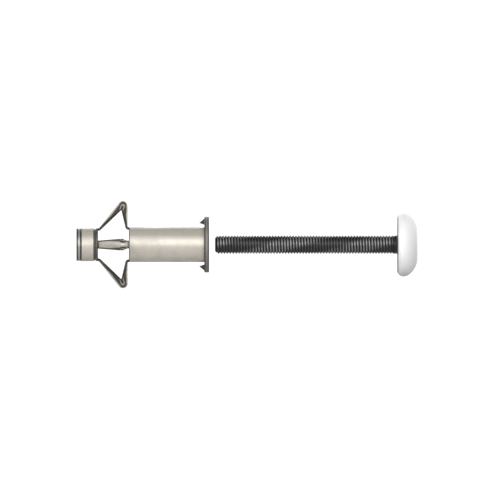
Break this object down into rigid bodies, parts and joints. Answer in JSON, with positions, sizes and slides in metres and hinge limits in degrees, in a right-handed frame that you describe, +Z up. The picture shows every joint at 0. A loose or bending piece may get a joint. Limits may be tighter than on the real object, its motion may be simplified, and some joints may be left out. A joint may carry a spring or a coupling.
{
  "type": "hollow wall anchor",
  "caption": "Formed steel sleeve with a barbed flange and four legs folded behind the wall, a nut held in its collar, and a machine screw with a domed head.",
  "frame": {"origin": "centre of the flange's back face, which lies on the face of the wall", "axes": "+X out of the wall along the screw, towards its head; +Z up; +Y into the view"},
  "size_m": [0.0937, 0.024, 0.024],
  "materials": {
    "sleeve": "warm grey zinc plate, with darker sheared edges",
    "nut": "turned steel, zinc plated",
    "screw": "head lacquered off-white, thread of dark oiled steel"
  },
  "bodies": {
    "anchor": {"sleeve": "sleeve", "nut": "nut"},
    "screw": {"screw": "screw"}
  },
  "joints": [
    {"name": "screw_travel", "type": "slide", "parent": "anchor", "child": "screw", "axis": [-1, 0, 0], "range_m": [0, 0.05155]}
  ]
}
